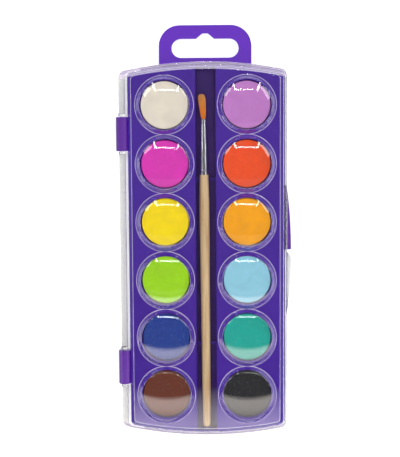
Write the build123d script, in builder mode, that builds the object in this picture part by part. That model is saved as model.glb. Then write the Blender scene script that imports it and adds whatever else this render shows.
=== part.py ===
"""Watercolor pan set: a moulded tray with twelve round wells, a clear hinged lid with mixing domes,
twelve pressed paint cakes and a round brush.

Millimetres. The closed set lies on its back: +Z up out of the lid, +Y towards the hang tab, and the
hinge on the -X side. The origin is the middle of the grid of wells, on the plane that the tray stands on.
"""

from build123d import *
import math
import os

os.makedirs("parts", exist_ok=True)

# ---------------------------------------------------------------- grid of wells
COLUMN_PITCH = 43.2
ROW_PITCH = 30.8
COLOURS = [
    ("cream", "lilac"),
    ("magenta", "orange_red"),
    ("yellow", "orange"),
    ("lime_green", "light_blue"),
    ("dark_blue", "teal_green"),
    ("brown", "black"),
]
ROWS = len(COLOURS)

# ---------------------------------------------------------------- case outline, at the lid's flange
RIM_HALF_W = 42.8
RIM_HALF_L = 99.5
HINGE_SIDE_X = -45.7
END_BOW_R = 205.0
RIM_CORNER_R = 4.0

# ---------------------------------------------------------------- tray
DECK_Z = 8.0
TRAY_WALL = 1.2
TRAY_INSET = 2.0
TRAY_CORNER_R = 2.6
DECK_EDGE_R = 0.5
WELL_R = 12.7
WELL_DRAFT = 2.0
WELL_FLOOR_Z = 3.4
CUP_WALL = 1.1
RIM_BEAD_OUT_R = 14.9
RIM_BEAD_H = 0.5
RIM_BEAD_ROUND_R = 0.4
CHANNEL_W = 10.8
CHANNEL_HALF_L = 96.2
CHANNEL_FLOOR_Z = 1.0
CHANNEL_WALL = 1.0
RIB_T = 1.4
RIB_TOP_Z = 3.0
RIB_Y = (37.9, -50.1)

# ---------------------------------------------------------------- hang tab
TAB_X = -0.1
TAB_W = 48.7
TAB_END_Y = 118.8
TAB_T = 2.2
TAB_CORNER_R = 11.0
SLOT_L = 35.4
SLOT_W = 10.0
SLOT_Y = 106.8
NOTCH_BASE = 9.4
NOTCH_TOP = 2.8
NOTCH_H = 2.8
NOTCH_ROUND_R = 1.2

# ---------------------------------------------------------------- thumb tabs
THUMB_REACH_X = 45.1
THUMB_HALF_L = 34.5
THUMB_GAP = 0.3
TRAY_THUMB_Z = 2.4
TRAY_THUMB_T = 1.5

# ---------------------------------------------------------------- hinge
HINGE_X = -43.9
HINGE_Z = 7.8
KNUCKLE_Y = (62.0, -62.0)
KNUCKLE_L = 17.8
KNUCKLE_R = 3.2
PIN_R = 1.0
PIN_CLEARANCE = 0.07
PIN_REACH = 3.0
EAR_R = 1.8
EAR_T = 1.6
HINGE_END_GAP = 0.3
KNUCKLE_SLOT_X = -40.3

# ---------------------------------------------------------------- lid
LID_GAP = 0.35
LID_WALL = 1.0
SKIRT_Z = 4.2
FLANGE_Z = 7.2
FLANGE_T = 1.0
SHOULDER_Z = 8.6
FACE_Z = 10.0
PLATE_T = 1.0
FACE_INSET = 3.9
FACE_CORNER_R = 0.9
SKIRT_CUT_X = -34.0
DOME_H = 5.5
DOME_FOOT_R = 16.3
DOME_WALL_R = 15.0
DOME_WALL_Z = 0.45
DOME_CROWN_EDGE_R = 13.4
DOME_CROWN_EDGE_Z = 2.6
DOME_SHELL = 1.0

# ---------------------------------------------------------------- paint cakes
PAINT_R = 12.45
PAINT_T = 3.6
PAINT_EDGE_R = 0.6

# ---------------------------------------------------------------- brush, lengths from the handle's end
BRUSH_BUTT = (-0.19, -95.4)
BRUSH_LEAN = 0.325
BRUSH_AXIS_Z = 6.0
HANDLE_L = 135.8
HANDLE_END_R = 2.0
HANDLE_END_ROUND = 1.7
HANDLE_TAIL = (2.18, 16.0)
HANDLE_MIDDLE = (2.42, 60.0)
HANDLE_BELLY_R = 2.6
HANDLE_BELLY_AT = (100.0, 121.0)
HANDLE_NECK_R = 2.25
TENON_END = 144.0
FERRULE_END = 165.0
FERRULE_BACK_R = 1.9
FERRULE_FRONT_R = 1.2
FERRULE_WALL = 0.32
CRIMP_AT = (137.9, 140.9)
CRIMP_W = 1.0
CRIMP_DEPTH = 0.18
PLUG_START = 152.0
ROOT_START = 156.0
TUFT_END = 178.2
TUFT_BELLY_R = 2.0
TUFT_BELLY_AT = 174.6
TUFT_TIP_R = 1.4
TUFT_ROUND = 0.5
TUFT_SPREAD = (0.08, 1)

WELLS = GridLocations(COLUMN_PITCH, ROW_PITCH, 2, ROWS)
WELL_TOP_R = WELL_R + (DECK_Z + RIM_BEAD_H - WELL_FLOOR_Z) * math.tan(math.radians(WELL_DRAFT))
SKIRT_IN_INSET = TRAY_INSET - LID_GAP
SKIRT_OUT_INSET = SKIRT_IN_INSET - LID_WALL


def end_y(x, inset):
    """Half length of the case at x, for the outline inset from the rim."""
    radius = END_BOW_R - inset
    return RIM_HALF_L - inset - radius + math.sqrt(radius**2 - x**2)


def case_outline(inset, corner_r, left_x=None):
    """The case's outline: straight sides, bowed ends and round corners, inset from the rim."""
    right = RIM_HALF_W - inset
    left = -right if left_x is None else left_x
    top = RIM_HALF_L - inset
    with BuildSketch() as outline:
        with BuildLine():
            Line((right, -end_y(right, inset)), (right, end_y(right, inset)))
            ThreePointArc((right, end_y(right, inset)), (0, top), (left, end_y(left, inset)))
            Line((left, end_y(left, inset)), (left, -end_y(left, inset)))
            ThreePointArc((left, -end_y(left, inset)), (0, -top), (right, -end_y(right, inset)))
        make_face()
        fillet(outline.vertices(), corner_r)
    return outline.sketch


def thumb_outline(root_x, side):
    """Half of the long thumb bulge, on the +Y side for side 1 and on the -Y side for side -1."""
    start = side * THUMB_GAP
    end = side * THUMB_HALF_L
    bulge = THUMB_REACH_X - RIM_HALF_W
    radius = (THUMB_HALF_L**2 + bulge**2) / (2 * bulge)
    middle_y = side * THUMB_HALF_L / 2
    middle_x = THUMB_REACH_X - radius + math.sqrt(radius**2 - middle_y**2)
    with BuildSketch() as outline:
        with BuildLine():
            Line((root_x, start), (THUMB_REACH_X, start))
            ThreePointArc((THUMB_REACH_X, start), (middle_x, middle_y), (RIM_HALF_W, end))
            Line((RIM_HALF_W, end), (root_x, end))
            Line((root_x, end), (root_x, start))
        make_face()
    return outline.sketch


def hinge_plane(y):
    """Plane across the hinge axis at y: local x is +X and the normal is +Y."""
    return Plane(origin=(HINGE_X, y, HINGE_Z), x_dir=(1, 0, 0), z_dir=(0, 1, 0))


# ---------------------------------------------------------------- tray
with BuildPart() as tray:
    with BuildSketch():
        add(case_outline(TRAY_INSET, TRAY_CORNER_R))
    extrude(amount=DECK_Z)
    fillet(tray.faces().sort_by(Axis.Z)[-1].edges(), DECK_EDGE_R)
    with BuildSketch():
        add(case_outline(TRAY_INSET + TRAY_WALL, TRAY_CORNER_R - TRAY_WALL))
    extrude(amount=DECK_Z - TRAY_WALL, mode=Mode.SUBTRACT)

    # Cups under the deck, and a low round bead around each well's mouth.
    with BuildSketch(Plane.XY.offset(WELL_FLOOR_Z - TRAY_WALL)):
        with WELLS:
            Circle(WELL_TOP_R + CUP_WALL)
    extrude(amount=DECK_Z - WELL_FLOOR_Z)
    with BuildSketch(Plane.XY.offset(DECK_Z - TRAY_WALL / 2)):
        with WELLS:
            Circle(RIM_BEAD_OUT_R)
    extrude(amount=TRAY_WALL / 2 + RIM_BEAD_H)
    with BuildSketch(Plane.XY.offset(WELL_FLOOR_Z)):
        with WELLS:
            Circle(WELL_R)
    extrude(amount=DECK_Z + RIM_BEAD_H - WELL_FLOOR_Z, taper=-WELL_DRAFT, mode=Mode.SUBTRACT)
    bead_edges = tray.edges().filter_by(GeomType.CIRCLE).group_by(Axis.Z)[-1]
    fillet(bead_edges, RIM_BEAD_ROUND_R)

    # Hang tab with its euro slot, level with the tray's foot.
    with BuildSketch(Plane((TAB_X, 0, 0))) as tab_outline:
        tab_root_y = end_y(TAB_W / 2, TRAY_INSET) - TRAY_WALL / 2
        with Locations((0, tab_root_y)):
            Rectangle(TAB_W, TAB_END_Y - tab_root_y, align=(Align.CENTER, Align.MIN))
        fillet(tab_outline.vertices().group_by(Axis.Y)[-1], TAB_CORNER_R)
        with Locations((0, SLOT_Y)):
            SlotOverall(SLOT_L, SLOT_W, mode=Mode.SUBTRACT)
        notch_y = SLOT_Y + SLOT_W / 2
        with BuildLine():
            Polyline(
                (-NOTCH_BASE / 2, SLOT_Y),
                (-NOTCH_BASE / 2, notch_y),
                (-NOTCH_TOP / 2, notch_y + NOTCH_H),
                (NOTCH_TOP / 2, notch_y + NOTCH_H),
                (NOTCH_BASE / 2, notch_y),
                (NOTCH_BASE / 2, SLOT_Y),
                close=True,
            )
        make_face(mode=Mode.SUBTRACT)
        notch_top = notch_y + NOTCH_H
        notch_corners = tab_outline.vertices().filter_by_position(Axis.Y, notch_top - 1, notch_top + 1)
        fillet(notch_corners, NOTCH_ROUND_R)
    extrude(amount=TAB_T)

    # Brush channel, open to the deck, with two cross ribs that the brush lies over.
    with BuildSketch():
        Rectangle(CHANNEL_W + 2 * CHANNEL_WALL, 2 * CHANNEL_HALF_L + CHANNEL_WALL)
    extrude(amount=DECK_Z - TRAY_WALL / 2)
    with BuildSketch(Plane.XY.offset(CHANNEL_FLOOR_Z)):
        Rectangle(CHANNEL_W, 2 * CHANNEL_HALF_L)
    extrude(amount=DECK_Z - CHANNEL_FLOOR_Z, mode=Mode.SUBTRACT)
    with BuildSketch(Plane.XY.offset(CHANNEL_FLOOR_Z / 2)):
        with Locations(*[(0, y) for y in RIB_Y]):
            Rectangle(CHANNEL_W + CHANNEL_WALL, RIB_T)
    extrude(amount=RIB_TOP_Z - CHANNEL_FLOOR_Z / 2)

    # Thumb tab, below the lid's skirt.
    with BuildSketch(Plane.XY.offset(TRAY_THUMB_Z)):
        add(thumb_outline(RIM_HALF_W - TRAY_INSET - TRAY_WALL / 2, 1))
    extrude(amount=TRAY_THUMB_T)

    # Hinge knuckles: a barrel and the web that joins it to the side wall.
    web_reach = -(RIM_HALF_W - TRAY_INSET) - HINGE_X + TRAY_WALL / 2
    for middle in KNUCKLE_Y:
        with BuildSketch(hinge_plane(middle - KNUCKLE_L / 2)):
            Circle(KNUCKLE_R)
            with Locations((web_reach / 2, KNUCKLE_R / 2)):
                Rectangle(web_reach, KNUCKLE_R)
        extrude(amount=KNUCKLE_L)
        with BuildSketch(hinge_plane(middle - KNUCKLE_L / 2)):
            Circle(PIN_R + PIN_CLEARANCE)
        extrude(amount=KNUCKLE_L, mode=Mode.SUBTRACT)

tray.part.label = "tray"
export_step(tray.part, "parts/tray.step")


# ---------------------------------------------------------------- lid
crown_drop = DOME_H - DOME_CROWN_EDGE_Z
crown_r = (DOME_CROWN_EDGE_R**2 + crown_drop**2) / (2 * crown_drop)
crown_angle = math.degrees(math.asin(DOME_CROWN_EDGE_R / crown_r))


def crown_point(radius, angle):
    """Point on the crown's arc of this radius, at this angle from the dome's axis, above the lid's face."""
    turn = math.radians(angle)
    return (radius * math.sin(turn), DOME_H - crown_r + radius * math.cos(turn))


# Upright plane through a dome's axis: local y is the height above the lid's face.
dome_section = Plane(origin=(0, 0, FACE_Z), x_dir=(1, 0, 0), z_dir=(0, -1, 0))

with BuildPart() as dome:
    with BuildSketch(dome_section):
        with BuildLine():
            edge = (DOME_CROWN_EDGE_R, DOME_CROWN_EDGE_Z)
            ThreePointArc((0, DOME_H), crown_point(crown_r, crown_angle / 2), edge)
            Polyline(
                edge,
                (DOME_WALL_R, DOME_WALL_Z),
                (DOME_FOOT_R, 0),
                (DOME_FOOT_R, -PLATE_T / 2),
                (0, -PLATE_T / 2),
                (0, DOME_H),
            )
        make_face()
    revolve(axis=Axis.Z)

with BuildPart() as cavity:
    inner_r = crown_r - DOME_SHELL
    inner_edge = crown_point(inner_r, crown_angle)
    wall_slope = (DOME_WALL_R - DOME_CROWN_EDGE_R) / (DOME_CROWN_EDGE_Z - DOME_WALL_Z)
    mouth_r = inner_edge[0] + wall_slope * (inner_edge[1] + PLATE_T)
    with BuildSketch(dome_section):
        with BuildLine():
            ThreePointArc(crown_point(inner_r, 0), crown_point(inner_r, crown_angle / 2), inner_edge)
            Polyline(inner_edge, (mouth_r, -PLATE_T), (0, -PLATE_T), crown_point(inner_r, 0))
        make_face()
    revolve(axis=Axis.Z)

with BuildPart() as lid:
    # Skirt around the tray, sloped shoulder and flat face.
    with BuildSketch(Plane.XY.offset(SKIRT_Z)):
        add(case_outline(SKIRT_OUT_INSET, RIM_CORNER_R - SKIRT_OUT_INSET))
    extrude(amount=SHOULDER_Z - SKIRT_Z)
    with BuildSketch(Plane.XY.offset(SHOULDER_Z)):
        add(case_outline(SKIRT_OUT_INSET, RIM_CORNER_R - SKIRT_OUT_INSET))
    with BuildSketch(Plane.XY.offset(FACE_Z)):
        add(case_outline(FACE_INSET, FACE_CORNER_R))
    loft(ruled=True)
    with WELLS:
        add(dome.part)

    # Hollow inside, and the cavity of each dome.
    with BuildSketch(Plane.XY.offset(SKIRT_Z)):
        add(case_outline(SKIRT_IN_INSET, TRAY_CORNER_R))
    extrude(amount=SHOULDER_Z - PLATE_T / 3 - SKIRT_Z, mode=Mode.SUBTRACT)
    with BuildSketch(Plane.XY.offset(SHOULDER_Z - PLATE_T / 3)):
        add(case_outline(SKIRT_IN_INSET, TRAY_CORNER_R))
    with BuildSketch(Plane.XY.offset(FACE_Z - PLATE_T)):
        add(case_outline(FACE_INSET + PLATE_T / 2, FACE_CORNER_R))
    loft(ruled=True, mode=Mode.SUBTRACT)
    with WELLS:
        add(cavity.part, mode=Mode.SUBTRACT)

    # The skirt is short on the hinge side, so that it clears the tray as the lid swings.
    with BuildSketch(Plane.XY.offset(SKIRT_Z)):
        with Locations((SKIRT_CUT_X, 0)):
            Rectangle(RIM_HALF_W, 2 * RIM_HALF_L, align=(Align.MAX, Align.CENTER))
    extrude(amount=FLANGE_Z - SKIRT_Z, mode=Mode.SUBTRACT)

    # Flange all round, wider on the hinge side, with the thumb tab.
    with BuildSketch(Plane.XY.offset(FLANGE_Z)):
        add(case_outline(0, RIM_CORNER_R, left_x=HINGE_SIDE_X))
        add(thumb_outline(RIM_HALF_W - SKIRT_OUT_INSET - LID_WALL / 2, -1))
        add(case_outline(SKIRT_IN_INSET, TRAY_CORNER_R), mode=Mode.SUBTRACT)
    extrude(amount=FLANGE_T)

    # At each knuckle: a notch, and at both its ends an ear with a stub pin.
    for middle in KNUCKLE_Y:
        with BuildSketch(Plane.XY.offset(SKIRT_Z)):
            with Locations((KNUCKLE_SLOT_X, middle)):
                Rectangle(3 * KNUCKLE_R, KNUCKLE_L + 2 * HINGE_END_GAP, align=(Align.MAX, Align.CENTER))
        extrude(amount=FACE_Z - SKIRT_Z, mode=Mode.SUBTRACT)
        for side in (-1, 1):
            inner_face_y = middle + side * (KNUCKLE_L / 2 + HINGE_END_GAP)
            with BuildSketch(hinge_plane(inner_face_y)):
                Circle(EAR_R)
            extrude(amount=side * EAR_T)
            with BuildSketch(hinge_plane(inner_face_y)):
                Circle(PIN_R)
            extrude(amount=-side * (HINGE_END_GAP + PIN_REACH))

lid.part.label = "lid"
export_step(lid.part, "parts/lid.step")


# ---------------------------------------------------------------- paint cakes
for row, pair in enumerate(COLOURS):
    row_y = ((ROWS - 1) / 2 - row) * ROW_PITCH
    for side, colour in zip((-1, 1), pair):
        with BuildPart() as paint:
            with BuildSketch(Plane(origin=(side * COLUMN_PITCH / 2, row_y, WELL_FLOOR_Z))):
                Circle(PAINT_R)
            extrude(amount=PAINT_T)
            fillet(paint.edges().group_by(Axis.Z)[-1], PAINT_EDGE_R)
        paint.part.label = f"paint_{colour}"
        export_step(paint.part, f"parts/paint_{colour}.step")


# ---------------------------------------------------------------- brush
lean = math.radians(BRUSH_LEAN)
along = (-math.sin(lean), math.cos(lean), 0)
butt = (BRUSH_BUTT[0], BRUSH_BUTT[1], BRUSH_AXIS_Z)
brush_axis = Axis(butt, along)
# Half-section of the brush: local x is the radius and local y the length from the handle's end.
brush_plane = Plane(origin=butt, x_dir=(0, 0, 1), z_dir=(-along[1], along[0], 0))


def ferrule_r(at):
    """Outer radius of the ferrule's taper."""
    share = (at - HANDLE_L) / (FERRULE_END - HANDLE_L)
    return FERRULE_BACK_R + share * (FERRULE_FRONT_R - FERRULE_BACK_R)


def bore_r(at):
    """Inner radius of the ferrule's taper."""
    return ferrule_r(at) - FERRULE_WALL


with BuildPart() as brush_handle:
    with BuildSketch(brush_plane):
        with BuildLine():
            EllipticalCenterArc((0, HANDLE_END_ROUND), HANDLE_END_R, HANDLE_END_ROUND, 270, arc_size=90)
            Spline(
                (HANDLE_END_R, HANDLE_END_ROUND),
                HANDLE_TAIL,
                HANDLE_MIDDLE,
                (HANDLE_BELLY_R, HANDLE_BELLY_AT[0]),
                (HANDLE_BELLY_R, HANDLE_BELLY_AT[1]),
                (HANDLE_NECK_R, HANDLE_L),
            )
            Polyline(
                (HANDLE_NECK_R, HANDLE_L),
                (bore_r(HANDLE_L), HANDLE_L),
                (bore_r(TENON_END), TENON_END),
                (0, TENON_END),
                (0, 0),
            )
        make_face()
    revolve(axis=brush_axis)
brush_handle.part.label = "brush_handle"
export_step(brush_handle.part, "parts/brush_handle.step")

with BuildPart() as brush_ferrule:
    with BuildSketch(brush_plane):
        with BuildLine():
            Polyline(
                (bore_r(HANDLE_L), HANDLE_L),
                (ferrule_r(HANDLE_L), HANDLE_L),
                (ferrule_r(FERRULE_END), FERRULE_END),
                (bore_r(FERRULE_END), FERRULE_END),
                close=True,
            )
        make_face()
        for at in CRIMP_AT:
            with BuildLine():
                Polyline(
                    (ferrule_r(at) - CRIMP_DEPTH, at),
                    (ferrule_r(at) + CRIMP_DEPTH, at - CRIMP_W),
                    (ferrule_r(at) + CRIMP_DEPTH, at + CRIMP_W),
                    close=True,
                )
            make_face(mode=Mode.SUBTRACT)
    revolve(axis=brush_axis)
brush_ferrule.part.label = "brush_ferrule"
export_step(brush_ferrule.part, "parts/brush_ferrule.step")

with BuildPart() as brush_glue_plug:
    with BuildSketch(brush_plane):
        with BuildLine():
            Polyline(
                (0, PLUG_START),
                (bore_r(PLUG_START), PLUG_START),
                (bore_r(ROOT_START), ROOT_START),
                (0, ROOT_START),
                close=True,
            )
        make_face()
    revolve(axis=brush_axis)
brush_glue_plug.part.label = "brush_glue_plug"
export_step(brush_glue_plug.part, "parts/brush_glue_plug.step")

with BuildPart() as brush_bristles:
    with BuildSketch(brush_plane):
        with BuildLine():
            Line((bore_r(ROOT_START), ROOT_START), (bore_r(FERRULE_END), FERRULE_END))
            Spline(
                (bore_r(FERRULE_END), FERRULE_END),
                (TUFT_BELLY_R, TUFT_BELLY_AT),
                (TUFT_TIP_R, TUFT_END - TUFT_ROUND),
                (0, TUFT_END),
                tangents=(TUFT_SPREAD, (-1, 0)),
            )
            Polyline((0, TUFT_END), (0, ROOT_START), (bore_r(ROOT_START), ROOT_START))
        make_face()
    revolve(axis=brush_axis)
brush_bristles.part.label = "brush_bristles"
export_step(brush_bristles.part, "parts/brush_bristles.step")
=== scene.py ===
"""Looks of the watercolor pan set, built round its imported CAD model.

The lid, the paint cakes and the brush's bristles are modelled here. The tray and the rest of the brush are
the CAD parts with procedural materials. Shapes are worked out in millimetres and made in metres.
"""

import math
import random

import bmesh
import bpy
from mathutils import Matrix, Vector, noise


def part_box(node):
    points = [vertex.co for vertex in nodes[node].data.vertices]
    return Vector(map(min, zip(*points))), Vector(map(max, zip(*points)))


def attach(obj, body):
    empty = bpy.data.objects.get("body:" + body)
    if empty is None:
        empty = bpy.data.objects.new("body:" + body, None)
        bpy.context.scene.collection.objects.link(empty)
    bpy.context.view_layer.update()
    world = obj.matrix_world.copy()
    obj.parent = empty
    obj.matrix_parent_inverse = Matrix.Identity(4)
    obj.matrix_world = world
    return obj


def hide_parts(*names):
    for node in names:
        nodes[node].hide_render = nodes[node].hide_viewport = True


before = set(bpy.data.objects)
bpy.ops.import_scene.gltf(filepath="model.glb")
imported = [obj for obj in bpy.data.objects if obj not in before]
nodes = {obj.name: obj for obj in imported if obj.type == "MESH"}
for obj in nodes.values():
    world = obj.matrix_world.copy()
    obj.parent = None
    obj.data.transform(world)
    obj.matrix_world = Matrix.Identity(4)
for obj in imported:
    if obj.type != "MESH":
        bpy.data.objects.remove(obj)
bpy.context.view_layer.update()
scene = bpy.context.scene
MM = 0.001

# ---------------------------------------------------------------- sizes of the design, mm
COLUMN_PITCH = 43.2
ROW_PITCH = 30.8
COLOURS = [
    ("cream", "lilac"),
    ("magenta", "orange_red"),
    ("yellow", "orange"),
    ("lime_green", "light_blue"),
    ("dark_blue", "teal_green"),
    ("brown", "black"),
]
ROWS = len(COLOURS)
RIM_HALF_W = 42.8
RIM_HALF_L = 99.5
HINGE_SIDE_X = -45.7
END_BOW_R = 205.0
RIM_CORNER_R = 4.0
THUMB_REACH_X = 45.1
THUMB_HALF_L = 34.5
THUMB_GAP = 0.3
HINGE_X = -43.9
HINGE_Z = 7.8
KNUCKLE_Y = (62.0, -62.0)
KNUCKLE_SLOT_HALF = 9.2
KNUCKLE_SLOT_INSET = 2.5
EAR_R = 1.8
EAR_T = 1.6
PIN_R = 1.0
PIN_L = 3.3
SKIRT_Z = 4.2
SKIRT_OUT = 0.65
SKIRT_IN = 1.65
SKIRT_CUT_X = -34.0
FLANGE_Z = 7.2
FLANGE_TOP_Z = 8.2
FACE_Z = 10.0
FACE_INSET = 3.9
FACE_CORNER_R = 0.9
PLATE_T = 1.0
DOME_H = 5.5
DOME_EDGE_R = 13.4
DOME_EDGE_Z = 2.6
CHANNEL_HALF_W = 5.4
CHANNEL_HALF_L = 96.2
RIB_TOP_Z = 3.0
WELL_FLOOR_Z = 3.4
PAINT_R = 12.45
PAINT_TOP_Z = 7.0
BUTT = Vector((-0.19, -95.4, 6.0))
BRUSH_LEAN = math.radians(0.325)
FERRULE_END = 165.0
FERRULE_MOUTH_R = 0.88
TUFT_END = 178.2

# ---------------------------------------------------------------- sizes of the visual shapes alone, mm
SHOULDER_INSET = 1.9
SHOULDER_UNDER_Z = 7.9
FACE_ROUND = 0.5
EDGE_ROUND = 0.3
UNDER_ROUND = 0.2
DOME_FOOT_X = 15.335
DOME_EDGE_ROUND = 2.3
DOME_INNER_ROUND = 0.8
DOME_FOOT_ROUND = 0.6
PIN_BEVEL = 0.3
EAR_BEVEL = 0.25
CAKE_TOP_Z = PAINT_TOP_Z - 0.22
CAKE_EDGE_R = 0.55
HAIR_R = 0.055
TUFT_BELLY_AT = 174.9
TUFT_BELLY_R = 2.05
TUFT_TIP_R = 1.7
TUFT_BEND = -1.0

# ---------------------------------------------------------------- steps and counts
ARC_STEPS = 5
CORNER_STEPS = 8
BOW_STEPS = (25, 4)
THUMB_STEPS = 12
CROWN_STEPS = 12
DOME_SECTORS = 76
PIN_SECTORS = 32
CAKE_SECTORS = 96
CAKE_RINGS = 22
HAIR_COUNT = 620


def well_centres():
    """Row, colour, and both coordinates of the centre of each well."""
    for row, pair in enumerate(COLOURS):
        for side, colour in zip((-1, 1), pair):
            yield row, colour, side * COLUMN_PITCH / 2, ((ROWS - 1) / 2 - row) * ROW_PITCH


# ---------------------------------------------------------------- mesh helpers
def mesh_object(name, bm, smooth_angle=35.0):
    """Object of this bmesh, scaled from millimetres to metres, smooth except over sharp edges."""
    bmesh.ops.scale(bm, vec=(MM, MM, MM), verts=bm.verts)
    mesh = bpy.data.meshes.new(name)
    bm.to_mesh(mesh)
    bm.free()
    mesh.polygons.foreach_set("use_smooth", [True] * len(mesh.polygons))
    mesh.set_sharp_from_angle(angle=math.radians(smooth_angle))
    made = bpy.data.objects.new(name, mesh)
    scene.collection.objects.link(made)
    return made


def face_outwards(bm):
    """Turns every face of a closed shape outwards."""
    bmesh.ops.recalc_face_normals(bm, faces=bm.faces)
    if bm.calc_volume(signed=True) < 0:
        bmesh.ops.reverse_faces(bm, faces=bm.faces)


def rounded(points, radii):
    """The polyline with each inner corner replaced by an arc of that radius."""
    path = [Vector(points[0])]
    for before, corner, after, radius in zip(points, points[1:], points[2:], radii):
        corner = Vector(corner)
        back = (Vector(before) - corner).normalized()
        ahead = (Vector(after) - corner).normalized()
        half = back.angle(ahead) / 2
        centre = corner + (back + ahead).normalized() * radius / math.sin(half)
        start = corner + back * radius / math.tan(half) - centre
        sweep = math.pi - 2 * half
        turn = 1 if start.x * ahead.y - start.y * ahead.x > 0 else -1
        for step in range(ARC_STEPS + 1):
            angle = turn * sweep * step / ARC_STEPS
            path.append(centre + Vector((
                start.x * math.cos(angle) - start.y * math.sin(angle),
                start.x * math.sin(angle) + start.y * math.cos(angle),
            )))
    path.append(Vector(points[-1]))
    return path


def bridge(bm, first, second):
    """Quads between two rings of vertices."""
    for i in range(len(first)):
        j = (i + 1) % len(first)
        bm.faces.new((first[i], first[j], second[j], second[i]))


def fan(bm, middle, ring):
    """Triangles from a middle vertex to the ring round it."""
    for i in range(len(ring)):
        bm.faces.new((middle, ring[i], ring[(i + 1) % len(ring)]))


# ---------------------------------------------------------------- lid
crown_drop = DOME_H - DOME_EDGE_Z
crown_r = (DOME_EDGE_R**2 + crown_drop**2) / (2 * crown_drop)
crown_angle = math.asin(DOME_EDGE_R / crown_r)


def crown_arc(radius, steps, last_share):
    """Points of the crown, as (radius, height above the face), from its top down."""
    angles = [crown_angle * last_share * step / steps for step in range(steps + 1)]
    return [(radius * math.sin(a), DOME_H - crown_r + radius * math.cos(a)) for a in angles]


def dome_profile(shell, foot_z, foot_x, edge_round, foot_end):
    """Section of one side of the dome's wall, from the top to the flat plate."""
    crown = crown_arc(crown_r - shell, CROWN_STEPS, 0.95)
    edge = crown_arc(crown_r - shell, 1, 1.0)[-1]
    corners = [crown[-1], edge, (foot_x, foot_z), (foot_end, foot_z)]
    bend = rounded(corners, (edge_round, DOME_FOOT_ROUND))
    return [Vector(p) for p in crown[:-1]] + bend


def height_at(profile, radius):
    """Height of the profile at this radius."""
    for inner, outer in zip(profile, profile[1:]):
        if radius <= outer.x:
            share = (radius - inner.x) / max(outer.x - inner.x, 1e-9)
            return inner.y + share * (outer.y - inner.y)
    return profile[-1].y


def add_dome(bm, profile, cx, cy, base_z, open_up, open_down):
    """One side of a dome. Where it has a neighbour it stops at the line between the two."""
    limit = ROW_PITCH / 2
    centre = bm.verts.new((cx, cy, base_z + profile[0].y))
    previous = None
    for point in profile[1:]:
        ring = []
        for sector in range(DOME_SECTORS):
            angle = 2 * math.pi * sector / DOME_SECTORS
            reach = point.x
            clipped = (math.sin(angle) > 0 and not open_up) or (math.sin(angle) < 0 and not open_down)
            if clipped and point.x * abs(math.sin(angle)) > limit:
                reach = limit / abs(math.sin(angle))
            z = base_z + height_at(profile, reach)
            ring.append(bm.verts.new((cx + reach * math.cos(angle), cy + reach * math.sin(angle), z)))
        if previous is None:
            fan(bm, centre, ring)
        else:
            bridge(bm, previous, ring)
        previous = ring


def add_domes(bm, profile, base_z):
    """That side of all twelve domes, each joined to its neighbours. Returns the open edges."""
    old = set(bm.faces)
    for row, _, cx, cy in well_centres():
        add_dome(bm, profile, cx, cy, base_z, row == 0, row == ROWS - 1)
    verts = list({v for f in bm.faces if f not in old for v in f.verts})
    bmesh.ops.remove_doubles(bm, verts=verts, dist=0.002)
    return [e for e in bm.edges if len(e.link_faces) == 1 and all(f not in old for f in e.link_faces)]


def thumb_x(y):
    """Edge of the thumb tab at y."""
    bulge = THUMB_REACH_X - RIM_HALF_W
    radius = (THUMB_HALF_L**2 + bulge**2) / (2 * bulge)
    return THUMB_REACH_X - radius + math.sqrt(radius**2 - y**2)


def side_stations():
    """Heights along the right side, with both ends of the thumb tab."""
    length = THUMB_HALF_L - THUMB_GAP
    thumb = [-THUMB_HALF_L + length * i / THUMB_STEPS for i in range(THUMB_STEPS + 1)]
    return [-75.0, -55.0] + thumb + [-THUMB_GAP + 0.02, 30.0, 60.0, 80.0]


def hinge_stations():
    """Heights down the left side, with both ends of each knuckle's slot and of the ears beside it."""
    reaches = (KNUCKLE_SLOT_HALF + EAR_T + 0.3, KNUCKLE_SLOT_HALF)
    slots = [y + reach for y in KNUCKLE_Y for reach in (*reaches, -reaches[1], -reaches[0])]
    return [80.0] + slots[:4] + [40.0, 20.0, 0.0, -20.0, -40.0] + slots[4:] + [-80.0]


def outline(inset, corner, hinge_side=None, thumb=False):
    """Points round the case, anticlockwise from the right side's foot, the same number for every inset."""
    half = RIM_HALF_W - inset
    left = half if hinge_side is None else hinge_side
    corner = max(corner, 0.05)
    bow = END_BOW_R - inset
    bow_centre = RIM_HALF_L - inset - bow

    def corner_centre(width):
        cx = width - corner
        return cx, bow_centre + math.sqrt((bow - corner) ** 2 - cx**2)

    def corner_arc(width):
        cx, cy = corner_centre(width)
        last = math.atan2(cy - bow_centre, cx)
        angles = [last * step / CORNER_STEPS for step in range(CORNER_STEPS + 1)]
        return [(cx + corner * math.cos(a), cy + corner * math.sin(a)) for a in angles]

    right_arc = corner_arc(half)
    left_arc = [(-x, y) for x, y in corner_arc(left)]
    start, end = right_arc[-1][0], left_arc[-1][0]
    to_cut, past_cut = BOW_STEPS
    bow_xs = [start + (SKIRT_CUT_X - start) * i / to_cut for i in range(1, to_cut + 1)]
    bow_xs += [SKIRT_CUT_X + (end - SKIRT_CUT_X) * i / past_cut for i in range(1, past_cut)]
    points = []
    for y in side_stations():
        in_thumb = thumb and -THUMB_HALF_L < y <= -THUMB_GAP
        points.append((thumb_x(y) - inset if in_thumb else half, y))
    points += right_arc
    points += [(x, bow_centre + math.sqrt(bow**2 - x**2)) for x in bow_xs]
    points += left_arc[::-1]
    points += [(-left, y) for y in hinge_stations()]
    points += [(x, -y) for x, y in left_arc]
    points += [(x, -bow_centre - math.sqrt(bow**2 - x**2)) for x in reversed(bow_xs)]
    points += [(x, -y) for x, y in right_arc[::-1]]
    return points


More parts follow.
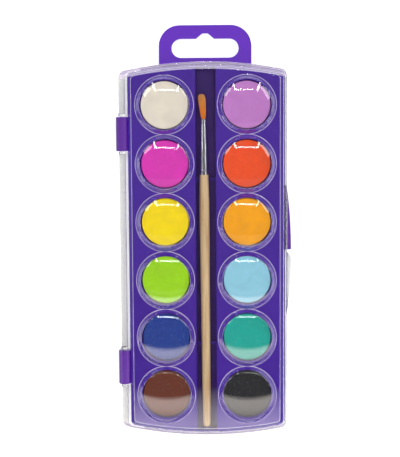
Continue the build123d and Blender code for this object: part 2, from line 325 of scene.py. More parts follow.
def lid_section():
    """Section of the lid's edge as (inset, z), from the top face round to the plate's underside,
    with the places in it where the knuckle slots and the skirt's short side are cut."""
    face = (FACE_INSET, FACE_Z)
    shoulder = (SHOULDER_INSET, FLANGE_TOP_Z)
    under = (SKIRT_IN, SHOULDER_UNDER_Z)
    inner_face = (FACE_INSET + PLATE_T / 2, FACE_Z - PLATE_T)

    def height_between(low, high):
        share = (KNUCKLE_SLOT_INSET - low[0]) / (high[0] - low[0])
        return low[1] + share * (high[1] - low[1])

    slot_top = (KNUCKLE_SLOT_INSET, height_between(shoulder, face))
    slot_foot = (KNUCKLE_SLOT_INSET, height_between(under, inner_face))
    top = rounded([(FACE_INSET + 0.6, FACE_Z), face, slot_top], (FACE_ROUND,))
    rim = [(0, FLANGE_TOP_Z), (0, FLANGE_Z), (SKIRT_OUT, FLANGE_Z)]
    flange = rounded([slot_top, shoulder] + rim, (EDGE_ROUND, EDGE_ROUND, EDGE_ROUND))
    skirt = rounded(
        [(SKIRT_OUT, FLANGE_Z), (SKIRT_OUT, SKIRT_Z), (SKIRT_IN, SKIRT_Z), (SKIRT_IN, FLANGE_Z)],
        (EDGE_ROUND, EDGE_ROUND),
    )
    inside = rounded([(SKIRT_IN, FLANGE_Z), under, slot_foot], (UNDER_ROUND,))
    plate = rounded([slot_foot, inner_face, (inner_face[0] + 0.6, inner_face[1])], (FACE_ROUND,))
    section = top + flange[1:] + skirt[1:] + inside[1:] + plate[1:]
    slot = (len(top) - 1, len(section) - len(plate))
    cut = (len(top) + len(flange) - 2, len(top) + len(flange) + len(skirt) - 3)
    return section, slot, cut


def corner_at(inset, inner):
    """Corner radius of the outline at this inset: it tightens up the shoulder to the flat face."""
    foot = SKIRT_IN if inner else SHOULDER_INSET
    if inset <= foot:
        return RIM_CORNER_R - inset
    share = min((inset - foot) / (FACE_INSET - foot), 1)
    return RIM_CORNER_R - foot + share * (FACE_CORNER_R - RIM_CORNER_R + foot)


def cut_stretches(points, inset, slot, cut):
    """For each step round the case, the stretch of the section that is cut away there, or None."""
    stretches = []
    for (x, y), (next_x, next_y) in zip(points, points[1:] + points[:1]):
        on_left = all(abs(end + RIM_HALF_W - inset) < 1e-4 for end in (x, next_x))
        middle = (y + next_y) / 2
        slotted = on_left and any(abs(middle - knuckle) < KNUCKLE_SLOT_HALF for knuckle in KNUCKLE_Y)
        short = (x + next_x) / 2 < SKIRT_CUT_X
        stretches.append(slot if slotted else cut if short else None)
    return stretches


def close_cut(bm, column, here, before):
    """Closes the open section, in this column of vertices, where one cut gives way to another."""
    wide = max(filter(None, (here, before)), key=lambda s: s[1] - s[0])
    narrow = min((here, before), key=lambda s: s[1] - s[0] if s else 0)
    if narrow:
        ends = list(range(wide[0], narrow[0] + 1)) + list(range(narrow[1], wide[1] + 1))
    else:
        ends = list(range(wide[0], wide[1] + 1))
    bm.faces.new([column[k] for k in ends])


def add_lid_edge(bm):
    """The sloped shoulder, flange and skirt. Returns the first and the last row of vertices."""
    section, slot, cut = lid_section()
    rows = []
    for index, (inset, z) in enumerate(section):
        on_flange = inset < SKIRT_OUT / 2
        hinge_half = (-HINGE_SIDE_X if on_flange else RIM_HALF_W) - inset
        corner = corner_at(inset, index > cut[1])
        points = outline(inset, corner, hinge_half, thumb=on_flange)
        rows.append([bm.verts.new((x, y, z)) for x, y in points])
    skips = cut_stretches([(v.co.x, v.co.y) for v in rows[0]], section[0][0], slot, cut)
    for i, skip in enumerate(skips):
        j = (i + 1) % len(skips)
        for k in range(len(rows) - 1):
            if skip and skip[0] <= k < skip[1]:
                continue
            bm.faces.new((rows[k][i], rows[k][j], rows[k + 1][j], rows[k + 1][i]))
        if skip:
            first, last = rows[skip[0]], rows[skip[1]]
            bm.faces.new((first[i], first[j], last[j], last[i]))
        if skip != skips[i - 1]:
            close_cut(bm, [row[i] for row in rows], skip, skips[i - 1])
    return rows[0], rows[-1]


def row_edges(bm, row):
    """Edges round a closed row of vertices."""
    return [bm.edges.get((row[i - 1], row[i])) for i in range(len(row))]


def add_hinge_pins(bm):
    """Ears with stub pins at both ends of each knuckle, each a closed turned shape."""
    ear_t = EAR_T - 0.03
    end = EAR_T + PIN_L
    profile = [(0, 0), (EAR_R - EAR_BEVEL, 0), (EAR_R, EAR_BEVEL)]
    profile += [(EAR_R, ear_t - EAR_BEVEL), (EAR_R - EAR_BEVEL, ear_t)]
    profile += [(PIN_R + 0.1, ear_t), (PIN_R, EAR_T + 0.1)]
    profile += [(PIN_R, end - PIN_BEVEL), (PIN_R - PIN_BEVEL, end), (0, end)]
    angles = [2 * math.pi * i / PIN_SECTORS for i in range(PIN_SECTORS)]
    for middle in KNUCKLE_Y:
        for side in (-1, 1):
            back_y = middle + side * (KNUCKLE_SLOT_HALF + EAR_T)
            rows = []
            for radius, along in profile:
                y = back_y - side * along
                if radius == 0:
                    rows.append([bm.verts.new((HINGE_X, y, HINGE_Z))] * PIN_SECTORS)
                    continue
                rows.append([
                    bm.verts.new((HINGE_X + radius * math.cos(a), y, HINGE_Z + radius * math.sin(a)))
                    for a in angles
                ])
            for first, second in zip(rows, rows[1:]):
                for i in range(PIN_SECTORS):
                    j = (i + 1) % PIN_SECTORS
                    corners = dict.fromkeys((first[i], first[j], second[j], second[i]))
                    bm.faces.new(list(corners))


def make_lid():
    """The clear shell with its twelve domes, joined to the ears and pins of the hinge."""
    outer = dome_profile(0, 0, DOME_FOOT_X, DOME_EDGE_ROUND, DOME_FOOT_X + 0.4)
    inner_edge = crown_arc(crown_r - PLATE_T, 1, 1.0)[-1]
    wall_slope = (DOME_FOOT_X - DOME_EDGE_R) / DOME_EDGE_Z
    mouth = inner_edge[0] + wall_slope * (inner_edge[1] + PLATE_T)
    inner = dome_profile(PLATE_T, -PLATE_T, mouth, DOME_INNER_ROUND, ROW_PITCH / 2 - 0.02)
    bm = bmesh.new()
    first, last = add_lid_edge(bm)
    for profile, row in ((outer, first), (inner, last)):
        edges = add_domes(bm, profile, FACE_Z)
        plane_z = FACE_Z if row is first else FACE_Z - PLATE_T
        rim = [e for e in edges if all(abs(v.co.z - plane_z) < 0.05 for v in e.verts)]
        bmesh.ops.triangle_fill(bm, use_beauty=True, edges=rim + row_edges(bm, row))
    face_outwards(bm)
    lid = mesh_object("clear_lid", bm)
    pins = bmesh.new()
    add_hinge_pins(pins)
    face_outwards(pins)
    pins = mesh_object("hinge_pins", pins)
    union = lid.modifiers.new("pins", "BOOLEAN")
    union.operation = "UNION"
    union.solver = "MANIFOLD"
    union.object = pins
    joined = bpy.data.meshes.new_from_object(lid.evaluated_get(bpy.context.evaluated_depsgraph_get()))
    lid.modifiers.clear()
    lid.data = joined
    bpy.data.objects.remove(pins)
    joined.set_sharp_from_angle(angle=math.radians(35))
    return lid


# ---------------------------------------------------------------- materials
def srgb(red, green, blue):
    """Linear colour of an sRGB one given in 0 to 255."""
    def linear(value):
        value /= 255
        return value / 12.92 if value <= 0.04045 else ((value + 0.055) / 1.055) ** 2.4
    return (linear(red), linear(green), linear(blue), 1.0)


def scaled(colour, factor):
    """The colour made lighter or darker."""
    return tuple(min(channel * factor, 1.0) for channel in colour[:3]) + (1.0,)


class Shader:
    """A node material with a Principled shader, and short ways to add the nodes that vary it."""

    def __init__(self, name, **sockets):
        self.material = bpy.data.materials.new(name)
        self.material.use_nodes = True
        self.tree = self.material.node_tree
        self.output = self.tree.nodes["Material Output"]
        self.main = self.tree.nodes["Principled BSDF"]
        for socket, value in sockets.items():
            self.main.inputs[socket.replace("_", " ").title().replace("Ior", "IOR")].default_value = value
        self.place = self.node("ShaderNodeTexCoord").outputs["Object"]

    def node(self, kind, **values):
        """A new node with these inputs or settings."""
        made = self.tree.nodes.new(kind)
        for name, value in values.items():
            if name in made.inputs:
                made.inputs[name].default_value = value
            else:
                setattr(made, name, value)
        return made

    def link(self, output, socket):
        self.tree.links.new(output, socket)

    def vary(self, name, output):
        """Gives an input of the Principled shader this output."""
        self.link(output, self.main.inputs[name])

    def stretched(self, stretch):
        """The place on the piece, scaled along each axis."""
        mapping = self.node("ShaderNodeMapping")
        mapping.inputs["Scale"].default_value = stretch
        self.link(self.place, mapping.inputs["Vector"])
        return mapping.outputs["Vector"]

    def noise(self, size, detail=4.0, rough=0.5, stretch=(1, 1, 1), distortion=0.0):
        """Noise with features of this size in metres."""
        made = self.node("ShaderNodeTexNoise")
        made.inputs["Scale"].default_value = 1 / size
        made.inputs["Detail"].default_value = detail
        made.inputs["Roughness"].default_value = rough
        made.inputs["Distortion"].default_value = distortion
        self.link(self.stretched(stretch), made.inputs["Vector"])
        return made.outputs["Fac"]

    def ramp(self, factor, *stops):
        """Colours by factor: stops of (place, colour)."""
        made = self.node("ShaderNodeValToRGB")
        elements = made.color_ramp.elements
        while len(elements) < len(stops):
            elements.new(0.5)
        for element, (at, colour) in zip(elements, stops):
            element.position = at
            element.color = colour
        self.link(factor, made.inputs["Fac"])
        return made.outputs["Color"]

    def range(self, value, low, high, to_low, to_high):
        """The value moved from one range to another, and clamped."""
        made = self.node("ShaderNodeMapRange")
        for socket, number in zip(list(made.inputs)[1:5], (low, high, to_low, to_high)):
            socket.default_value = number
        self.link(value, made.inputs["Value"])
        return made.outputs["Result"]

    def mixed(self, factor, first, second, blend="MIX"):
        """Two colours mixed. Each of the three may be a socket or a plain value."""
        made = self.node("ShaderNodeMix", data_type="RGBA", blend_type=blend)
        for index, value in ((0, factor), (6, first), (7, second)):
            socket = made.inputs[index]
            if isinstance(value, bpy.types.NodeSocket):
                self.link(value, socket)
            else:
                socket.default_value = value
        return made.outputs[2]

    def bump(self, height, distance, before=None):
        """Surface relief of this height in metres, if wanted on top of another."""
        made = self.node("ShaderNodeBump")
        made.inputs["Distance"].default_value = distance
        self.link(height, made.inputs["Height"])
        if before is not None:
            self.link(before, made.inputs["Normal"])
        self.vary("Normal", made.outputs["Normal"])
        return made.outputs["Normal"]

    def axis(self, name):
        """One coordinate of the place on the piece."""
        split = self.node("ShaderNodeSeparateXYZ")
        self.link(self.place, split.inputs[0])
        return split.outputs[name]

    def math(self, operation, *values):
        """Arithmetic on sockets and plain numbers."""
        made = self.node("ShaderNodeMath", operation=operation)
        for socket, value in zip(made.inputs, values):
            if isinstance(value, bpy.types.NodeSocket):
                self.link(value, socket)
            else:
                socket.default_value = value
        return made.outputs[0]

    def length(self, x, y):
        """Distance from the middle, from its two parts."""
        squares = self.math("ADD", self.math("MULTIPLY", x, x), self.math("MULTIPLY", y, y))
        return self.math("SQRT", squares)

    def line(self, distance, at, strength):
        """A thin line where the distance, in metres, has this value in millimetres."""
        off = self.math("ABSOLUTE", self.math("SUBTRACT", distance, at * MM))
        return self.range(off, 0.04 * MM, 0.12 * MM, strength, 0)


def purple_plastic():
    """Injection-moulded opaque plastic, with painted light in the thin hang tab, a painted highlight on
    the knuckles and clasp tab, and painted shade in the brush channel.
    """
    made = Shader("purple_plastic", roughness=0.35, ior=1.5, specular_ior_level=0.35)
    body = srgb(64, 14, 150)
    flow = made.noise(0.03, 3, stretch=(1, 0.4, 1), distortion=0.4)
    colour = made.ramp(flow, (0.3, scaled(body, 0.93)), (0.7, scaled(body, 1.07)))
    # painted light: the hang tab is made lighter, as if lit through from the floor below it
    tab = made.range(made.axis("Y"), (RIM_HALF_L - 1.9) * MM, (RIM_HALF_L - 0.9) * MM, 0, 1)
    colour = made.mixed(tab, colour, srgb(92, 22, 182))
    beside = made.math("ABSOLUTE", made.axis("X"))
    # painted highlight: the knuckles and clasp tab past the rim are made paler, standing in for the
    # reflections on them
    outboard_highlight = made.range(beside, (RIM_HALF_W - 1.9) * MM, (RIM_HALF_W - 1.5) * MM, 0, 1)
    colour = made.mixed(outboard_highlight, colour, srgb(86, 32, 144))
    # painted shade: the floor of the brush channel is darkened where little light reaches it
    trough_shade = made.range(beside, (CHANNEL_HALF_W - 0.5) * MM, (CHANNEL_HALF_W - 0.1) * MM, 0.6, 0)
    within = made.range(made.axis("Y"), (CHANNEL_HALF_L + 0.4) * MM, (CHANNEL_HALF_L + 0.8) * MM, 1, 0)
    deep = made.range(made.axis("Z"), (RIB_TOP_Z - 0.4) * MM, RIB_TOP_Z * MM, 1, 0.3)
    trough_shade = made.math("MULTIPLY", made.math("MULTIPLY", trough_shade, within), deep)
    made.vary("Base Color", made.mixed(trough_shade, colour, srgb(50, 18, 48)))
    grain = made.noise(0.0007, 3)
    made.vary("Roughness", made.range(grain, 0.3, 0.7, 0.3, 0.44))
    waves = made.bump(made.noise(0.012, 1), 0.00003)
    made.bump(grain, 0.000006, before=waves)
    return made.material


def lid_insets(made):
    """Distances in from the lid's bowed ends and from its rim all round."""
    x = made.math("ABSOLUTE", made.axis("X"))
    y = made.math("ABSOLUTE", made.axis("Y"))
    from_bow = made.math("ADD", y, (END_BOW_R - RIM_HALF_L) * MM)
    from_end = made.math("SUBTRACT", END_BOW_R * MM, made.length(x, from_bow))
    from_side = made.math("SUBTRACT", RIM_HALF_W * MM, x)
    return from_end, made.math("SMOOTH_MIN", from_side, from_end, 2.5 * MM)


def lid_tint_and_rim_shade(made, from_end, inset):
    """Almost colourless plastic, with painted shade in the rim, darker towards the near end and darkest on
    the end rims.
    """
    # painted shade: the grey of the shadowed floor under the flange is painted into the rim's colour
    near_end = made.range(made.axis("Y"), -96 * MM, -78 * MM, 1, 0)
    rim_shade = made.mixed(near_end, (0.86, 0.86, 0.83, 1), (0.72, 0.72, 0.7, 1))
    end_rim_shade = made.mixed(near_end, (0.7, 0.67, 0.74, 1), (0.56, 0.52, 0.62, 1))
    rim = made.range(inset, 0.9 * MM, 2.1 * MM, 1, 0)
    end_rim = made.range(from_end, 1.4 * MM, 2.2 * MM, 1, 0)
    body = made.mixed(rim, (0.975, 0.975, 0.985, 1), rim_shade)
    return made.mixed(end_rim, body, end_rim_shade)


def lid_painted_highlights(made, from_end, inset):
    """Share of painted highlight, as whitish plastic: thin lines round the domes and along the moulded
    edges, and a painted sheen on the sloped ends, strongest at the hang end.
    """
    x = made.math("ABSOLUTE", made.axis("X"))
    y = made.math("ABSOLUTE", made.axis("Y"))
    beside = made.math("SUBTRACT", x, COLUMN_PITCH / 2 * MM)
    past = made.math("SUBTRACT", made.math("MODULO", y, ROW_PITCH * MM), ROW_PITCH / 2 * MM)
    ring = made.line(made.length(beside, past), DOME_FOOT_X + 0.1, 0.75)
    rows_end = ROWS / 2 * ROW_PITCH
    in_rows = made.range(y, rows_end * MM, (rows_end + 0.3) * MM, 1, 0)
    highlight_share = made.math("MULTIPLY", ring, in_rows)
    for at, strength in ((FACE_INSET, 0.42), (SHOULDER_INSET, 0.2), (0.25, 0.16)):
        highlight_share = made.math("MAXIMUM", highlight_share, made.line(inset, at, strength))
    # painted highlight on the sloped ends, faded out towards the near end
    slope = made.range(from_end, (FACE_INSET - 0.6) * MM, FACE_INSET * MM, 0.26, 0)
    for at in (0.9, 2.7, 3.6):
        slope = made.math("MAXIMUM", slope, made.line(from_end, at, 0.6))
    toward_hang_end = made.range(made.axis("Y"), 0, 20 * MM, 0.15, 1)
    return made.math("MAXIMUM", highlight_share, made.math("MULTIPLY", slope, toward_hang_end))


def clear_plastic():
    """Clear polystyrene. Light falls through it on what it covers. Its colour carries painted shade in the
    rim and painted highlights round the domes and along its edges.
    """
    made = Shader("clear_plastic", roughness=0.015, ior=1.52)
    from_end, inset = lid_insets(made)
    tint_and_rim_shade = lid_tint_and_rim_shade(made, from_end, inset)
    highlight_share = lid_painted_highlights(made, from_end, inset)
    # painted highlight: where the share is high the plastic turns whitish and lets less light through
    made.vary("Base Color", made.mixed(highlight_share, tint_and_rim_shade, (0.84, 0.66, 1.0, 1)))
    made.vary("Transmission Weight", made.math("SUBTRACT", 1.0, highlight_share))
    made.bump(made.noise(0.02, 1), 0.00001)
    rays = made.node("ShaderNodeLightPath")
    plain = made.math("MAXIMUM", rays.outputs["Is Shadow Ray"], rays.outputs["Is Diffuse Ray"])
    through = made.node("ShaderNodeBsdfTransparent", Color=(0.955, 0.955, 0.965, 1))
    mix = made.node("ShaderNodeMixShader")
    for output, socket in zip((plain, made.main.outputs[0], through.outputs[0]), mix.inputs):
        made.link(output, socket)
    made.link(mix.outputs[0], made.output.inputs["Surface"])
    return made.material


def paint_cake(name, colour):
    """Pressed, faintly chalky watercolour."""
    made = Shader(name, roughness=0.7, ior=1.45, specular_ior_level=0.35)
    cloud = made.noise(0.007, 5, 0.6, distortion=0.6)
    body = made.ramp(cloud, (0.28, scaled(colour, 0.9)), (0.55, colour), (0.8, scaled(colour, 1.1)))
    dust = made.range(made.noise(0.0011, 4, 0.7), 0.56, 0.8, 0, 0.22)
    pale = tuple(channel * 0.6 + 0.4 for channel in colour[:3]) + (1.0,)
    made.vary("Base Color", made.mixed(dust, body, pale))
    made.vary("Roughness", made.range(cloud, 0.3, 0.7, 0.58, 0.8))
    pressed = made.bump(made.noise(0.004, 3), 0.00006)
    made.bump(made.noise(0.00035, 4, 0.7), 0.00003, before=pressed)
    return made.material


def varnished_wood():
    """Pale wood with fine grain along the handle, under thin varnish."""
    made = Shader("handle_wood", roughness=0.42, ior=1.5, coat_weight=0.25, coat_roughness=0.25)
    light, dark = srgb(222, 190, 142), srgb(190, 150, 102)
    bands = made.noise(0.0016, 3, 0.5, stretch=(1, 0.05, 1), distortion=0.5)
    colour = made.ramp(bands, (0.3, dark), (0.5, srgb(210, 178, 130)), (0.72, light))
    pores = made.noise(0.00022, 2, 0.6, stretch=(1, 0.07, 1))
    pore_share = made.range(pores, 0.6, 0.78, 0, 0.55)
    made.vary("Base Color", made.mixed(pore_share, colour, srgb(150, 108, 70)))
    made.vary("Roughness", made.range(bands, 0.3, 0.7, 0.36, 0.5))
    made.bump(pores, 0.00002)
    return made.material


def ferrule_metal():
    """Drawn aluminium with faint lines along it."""
    made = Shader("ferrule_metal", metallic=0.9, roughness=0.22)
    lines = made.noise(0.00025, 2, 0.5, stretch=(1, 0.03, 1))
    made.vary("Roughness", made.range(lines, 0.3, 0.7, 0.2, 0.28))
    tarnish = made.noise(0.004, 4, 0.6)
    colour = made.ramp(tarnish, (0.3, srgb(206, 206, 210)), (0.65, srgb(240, 240, 242)))
    made.vary("Base Color", colour)
    made.bump(lines, 0.000001)
    return made.material


def bristle_hair(tip_y, root_y):
    """Springy brown hair, paler towards its tips."""
    made = Shader("bristle_hair", roughness=0.38, ior=1.5)
    along = made.range(made.axis("Y"), root_y, tip_y, 0, 1)
    root, middle, tip = srgb(232, 112, 8), srgb(248, 142, 22), srgb(240, 172, 88)
    colour = made.ramp(along, (0.0, root), (0.55, middle), (1.0, tip))
    strands = made.noise(0.0003, 2, stretch=(1, 0.06, 1))
    shade = made.ramp(strands, (0.3, (0.75, 0.75, 0.75, 1)), (0.7, (1, 1, 1, 1)))
    made.vary("Base Color", made.mixed(1.0, colour, shade, "MULTIPLY"))
    return made.material


def glue_resin():
    """Amber glue that holds the hair in the ferrule."""
    made = Shader("glue_resin", roughness=0.3, ior=1.5)
    cloud = made.noise(0.001, 3)
    made.vary("Base Color", made.ramp(cloud, (0.3, srgb(150, 96, 30)), (0.7, srgb(190, 134, 52))))
    return made.material


PAINT_COLOURS = {
    "cream": srgb(233, 223, 203),
    "lilac": srgb(194, 126, 196),
    "magenta": srgb(222, 56, 178),
    "orange_red": srgb(242, 80, 30),
    "yellow": srgb(252, 221, 8),
    "orange": srgb(250, 166, 14),
    "lime_green": srgb(158, 218, 20),
    "light_blue": srgb(146, 206, 223),
    "dark_blue": srgb(34, 62, 142),
    "teal_green": srgb(28, 168, 150),
    "brown": srgb(104, 50, 32),
    "black": srgb(38, 38, 39),
}


# ---------------------------------------------------------------- paint cakes
def make_cake(colour, cx, cy, seed):
    """A pressed cake: gently uneven on top, with a soft worn edge."""
    flat_r = PAINT_R - CAKE_EDGE_R
    rings = [(i / CAKE_RINGS * flat_r, 0.0) for i in range(1, CAKE_RINGS + 1)]
    rings += [
        (flat_r + CAKE_EDGE_R * math.sin(a), CAKE_EDGE_R * (math.cos(a) - 1))
        for a in (math.radians(d) for d in (15, 30, 45, 60, 75, 90))
    ]
    rng = random.Random(seed)
    tilt = Vector((rng.uniform(-1, 1), rng.uniform(-1, 1))) * 0.004
    shift = Vector((rng.uniform(-50, 50), rng.uniform(-50, 50), 0))

    def surface(x, y, drop):
        r_share = min(math.hypot(x, y) / PAINT_R, 1)
        swell = 0.16 * r_share**6 - 0.08 * (1 - r_share**2)
        rough = 0.07 * noise.noise(Vector((x, y, 0)) * 0.16 + shift)
        rough += 0.022 * noise.noise(Vector((x, y, 0)) * 0.7 + shift)
        return min(CAKE_TOP_Z + swell + rough + tilt.x * x + tilt.y * y + drop, PAINT_TOP_Z)

    bm = bmesh.new()
    centre = bm.verts.new((cx, cy, surface(0, 0, 0)))
    previous = None
    for radius, drop in rings:
        ring = []
        for i in range(CAKE_SECTORS):
            angle = 2 * math.pi * i / CAKE_SECTORS
            reach = radius
            if drop < 0:
                wear = noise.noise(Vector((math.cos(angle), math.sin(angle), 0)) * 3 + shift)
                reach -= 0.06 * (0.5 + 0.5 * wear)
            x, y = reach * math.cos(angle), reach * math.sin(angle)
            ring.append(bm.verts.new((cx + x, cy + y, surface(x, y, drop))))
        if previous is None:
            fan(bm, centre, ring)
        else:
            bridge(bm, previous, ring)
        previous = ring
    foot = [bm.verts.new((v.co.x, v.co.y, WELL_FLOOR_Z)) for v in previous]
    bridge(bm, previous, foot)
    bm.faces.new(foot)
    face_outwards(bm)
    return mesh_object(f"cake_{colour}", bm, smooth_angle=50)


# ---------------------------------------------------------------- brush hair
def hair_stations(share, end):
    """Lengths along the brush and distances from its axis that one hair passes through."""
    return [
        (FERRULE_END - 3, (FERRULE_MOUTH_R - 0.1) * share),
        (FERRULE_END, (FERRULE_MOUTH_R - 0.06) * share),
        (FERRULE_END + 1.3, 1.3 * share),
        (FERRULE_END + 5, 1.62 * share),
        (TUFT_BELLY_AT, (TUFT_BELLY_R - HAIR_R) * share),
        (end - 1.0, (TUFT_BELLY_R - 0.12) * share),
        (end, TUFT_TIP_R * share),
    ]


def make_bristles():
    """Each hair runs from inside the ferrule, swells with the tuft and closes in at the tip."""
    along = Vector((-math.sin(BRUSH_LEAN), math.cos(BRUSH_LEAN), 0))
    across = Vector((along.y, -along.x, 0))
    up = Vector((0, 0, 1))
    rng = random.Random(7)
    curve = bpy.data.curves.new("tuft", "CURVE")
    curve.dimensions = "3D"
    curve.bevel_depth = HAIR_R * MM
    curve.bevel_resolution = 1
    curve.resolution_u = 3
    for _ in range(HAIR_COUNT):
        share = math.sqrt(rng.random())
        angle = rng.uniform(0, 2 * math.pi)
        out = across * math.cos(angle) + up * math.sin(angle)
        side = across * -math.sin(angle) + up * math.cos(angle)
        end = TUFT_END - 0.8 * share**3 - abs(rng.gauss(0, 0.15)) - 0.05
        drift = rng.gauss(0, 0.05)
        stations = hair_stations(share, end)
        spline = curve.splines.new("NURBS")
        spline.points.add(len(stations) - 1)
        for index, (at, radius) in enumerate(stations):
            past = max(at - FERRULE_END, 0) / (TUFT_END - FERRULE_END)
            bend = across * TUFT_BEND * past**1.4
            point = (BUTT + along * at + out * radius + side * drift * past + bend) * MM
            spline.points[index].co = (*point, 1)
            spline.points[index].radius = 1.0 if index < len(stations) - 1 else 0.35
        spline.order_u = 3
        spline.use_endpoint_u = True
    tuft = bpy.data.objects.new("tuft", curve)
    scene.collection.objects.link(tuft)
    mesh = bpy.data.meshes.new_from_object(tuft.evaluated_get(bpy.context.evaluated_depsgraph_get()))
    bpy.data.objects.remove(tuft)
    mesh.polygons.foreach_set("use_smooth", [True] * len(mesh.polygons))
    made = bpy.data.objects.new("brush_hair", mesh)
    scene.collection.objects.link(made)
    return made


# ---------------------------------------------------------------- pieces on their bodies
def finish_piece(piece, material, body, node):
    """Gives a new piece its material and body, and hides the CAD node that it stands for."""
    piece.data.materials.clear()
    piece.data.materials.append(material)
    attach(piece, body)
    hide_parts(node)


def dress(node, material):
    """Puts the material on a CAD node."""
    nodes[node].data.materials.clear()
    nodes[node].data.materials.append(material)


dress("tray", purple_plastic())
dress("brush_handle", varnished_wood())
dress("brush_ferrule", ferrule_metal())
dress("brush_glue_plug", glue_resin())
finish_piece(make_lid(), clear_plastic(), "lid", "lid")
hair_lo, hair_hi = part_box("brush_bristles")
finish_piece(
    make_bristles(), bristle_hair(hair_hi.y, hair_lo.y), "brush", "brush_bristles"
)
for number, (_, colour, cx, cy) in enumerate(well_centres()):
    slot_name = f"paint_{colour}"
    cake_material = paint_cake(slot_name, PAINT_COLOURS[colour])
    finish_piece(make_cake(colour, cx, cy, number), cake_material, "tray", slot_name)


# ---------------------------------------------------------------- floor, light and camera
# Lights are placed in metres, and the camera in millimetres and degrees.
CEILING_Z = 1.7
LAMPS = 10
CAMERA_PLACE = (6.96, 58.48, 534.66)
CAMERA_TURN = (-5.044, 1.078, -0.362)


def quad(name, centre, across, down):
    """A flat rectangle from its centre and two half sides, in metres."""
    centre, across, down = Vector(centre), Vector(across), Vector(down)
    mesh = bpy.data.meshes.new(name)
    corners = [centre - across - down, centre + across - down]
    corners += [centre + across + down, centre - across + down]
    mesh.from_pydata(corners, [], [(0, 1, 2, 3)])
    made = bpy.data.objects.new(name, mesh)
    scene.collection.objects.link(made)
    return made


def glow(name, strength):
    """Plain emission, for light panels that show in reflections."""
    material = bpy.data.materials.new(name)
    material.use_nodes = True
    tree = material.node_tree
    tree.nodes.remove(tree.nodes["Principled BSDF"])
    emission = tree.nodes.new("ShaderNodeEmission")
    emission.inputs["Strength"].default_value = strength
    tree.links.new(emission.outputs[0], tree.nodes["Material Output"].inputs["Surface"])
    return material


def reflected_panel(name, centre, across, down, material, through_lid=False):
    """A light panel seen only in reflections, and if wanted in those under the lid."""
    panel = quad(name, centre, across, down)
    panel.data.materials.append(material)
    if not through_lid:
        material.cycles.emission_sampling = "NONE"
    panel.visible_camera = False
    panel.visible_diffuse = False
    panel.visible_shadow = False
    panel.visible_transmission = through_lid


def tube(name, start, end, half_width, material):
    """A straight light tube seen only in reflections."""
    start, end = Vector(start), Vector(end)
    half = (end - start) / 2
    across = Vector((-half.y, half.x, 0)).normalized() * half_width
    reflected_panel(name, (start + end) / 2, half, across, material)


def area_light(name, place, size, power):
    """A soft square light aimed at the middle of the set, and not seen in reflections."""
    data = bpy.data.lights.new(name, "AREA")
    data.shape = "SQUARE"
    data.size = size
    data.energy = power
    made = bpy.data.objects.new(name, data)
    scene.collection.objects.link(made)
    made.location = place
    made.rotation_euler = (Vector() - Vector(place)).to_track_quat("-Z", "Y").to_euler()
    made.visible_glossy = False
    made.visible_transmission = False
    made.visible_camera = False


def make_floor():
    """Plain pale paper, bright enough to come out white."""
    floor = quad("floor", (0, 0, -0.0002), (4, 0, 0), (0, 4, 0))
    made = Shader("floor_paper", base_color=(0.86, 0.86, 0.86, 1), roughness=0.9, specular_ior_level=0)
    made.main.inputs["Emission Color"].default_value = (1, 1, 1, 1)
    made.main.inputs["Emission Strength"].default_value = 0.42
    floor.data.materials.append(made.material)


def card_light():
    """Light from a card held over the near end, that fades in and then falls off along it."""
    made = Shader("card_light", base_color=(0, 0, 0, 1), roughness=1.0, specular_ior_level=0)
    made.main.inputs["Emission Color"].default_value = (1.0, 0.93, 0.88, 1)
    away = made.math("MULTIPLY", made.axis("Y"), -1.0)
    rise = made.range(away, 0.1, 0.124, 0, 5.8)
    fall = made.range(away, 0.15, 0.26, 1, 0.42)
    made.vary("Emission Strength", made.math("MULTIPLY", rise, fall))
    return made.material


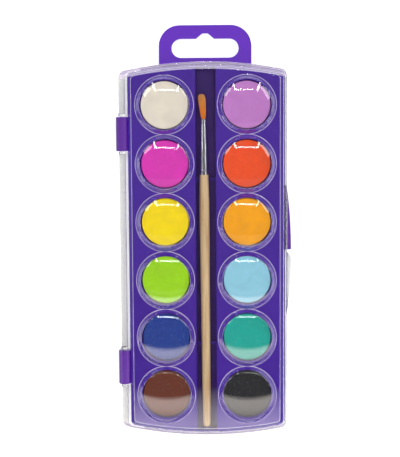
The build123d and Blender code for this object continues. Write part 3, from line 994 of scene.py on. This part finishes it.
def make_lights():
    """Soft lights for the room, and panels that give the lid its highlights."""
    area_light("overhead", (0.0, 0.1, 1.5), 1.6, 24)
    area_light("front_fill", (0.1, -1.2, 1.0), 0.8, 7)
    area_light("side_fill", (1.1, 0.5, 0.8), 0.6, 5)
    window = glow("window_light", 0.5)
    reflected_panel("front_window", (0, -0.875, 0.54), (1.2, 0, 0), (0, 0.6, 0), window)
    reflected_panel("front_card", (0, -0.257, 0.12), (0.5, 0, 0), (0, 0.161, 0), card_light())
    strip = glow("strip_light", 34)
    row_start, row_end = Vector((-0.68, 1.07, CEILING_Z)), Vector((0.78, 1.05, CEILING_Z))
    half = (row_end - row_start) / LAMPS * 0.22
    for i in range(LAMPS):
        middle = row_start.lerp(row_end, (i + 0.5) / LAMPS)
        reflected_panel(f"lamp_{i:02d}", middle, half, (0, 0.065, 0), strip)
    tubes = glow("tube_light", 22)
    tube("left_tube", row_start, (-1.42, 2.7, CEILING_Z), 0.06, tubes)
    tube("right_tube", row_end, (1.36, 2.4, CEILING_Z), 0.06, tubes)
    soft = glow("side_light", 7)
    tube("left_panel", (-1.2, 1.4, CEILING_Z), (-1.65, 0.85, CEILING_Z), 0.28, soft)
    tube("right_panel", (1.2, 1.45, CEILING_Z), (1.8, 0.6, CEILING_Z), 0.26, soft)
    flank = glow("flank_light", 4.5)
    reflected_panel("left_flank", (-2.3, 0, 1.2), (0.5, 0, 0), (0, 1.6, 0), flank, True)
    reflected_panel("right_flank", (2.3, 0, 1.2), (0.5, 0, 0), (0, 1.6, 0), flank, True)


def make_world():
    """Dim overhead and paler towards the horizon, and white where the camera looks past the floor."""
    world = bpy.data.worlds.new("studio")
    scene.world = world
    world.use_nodes = True
    tree = world.node_tree
    back = tree.nodes["Background"]
    coordinates = tree.nodes.new("ShaderNodeTexCoord")
    split = tree.nodes.new("ShaderNodeSeparateXYZ")
    ramp = tree.nodes.new("ShaderNodeValToRGB")
    stops = ramp.color_ramp.elements
    stops[0].position, stops[0].color = 0.25, (0.35, 0.35, 0.36, 1)
    stops[1].position, stops[1].color = 0.6, (0.03, 0.03, 0.032, 1)
    rays = tree.nodes.new("ShaderNodeLightPath")
    mix = tree.nodes.new("ShaderNodeMix")
    mix.data_type = "RGBA"
    tree.links.new(coordinates.outputs["Generated"], split.inputs[0])
    tree.links.new(split.outputs["Z"], ramp.inputs["Fac"])
    tree.links.new(rays.outputs["Is Camera Ray"], mix.inputs[0])
    tree.links.new(ramp.outputs["Color"], mix.inputs[6])
    mix.inputs[7].default_value = (1, 1, 1, 1)
    tree.links.new(mix.outputs[2], back.inputs["Color"])


def make_camera():
    """A long lens above the set, a little off its middle and looking almost straight down."""
    data = bpy.data.cameras.new("camera")
    data.sensor_fit = "HORIZONTAL"
    data.sensor_width = 36
    data.lens = 90
    data.clip_start = 0.01
    made = bpy.data.objects.new("camera", data)
    scene.collection.objects.link(made)
    made.location = [value * MM for value in CAMERA_PLACE]
    made.rotation_euler = [math.radians(angle) for angle in CAMERA_TURN]
    scene.camera = made


make_floor()
make_lights()
make_world()
make_camera()
scene.view_settings.view_transform = "Standard"
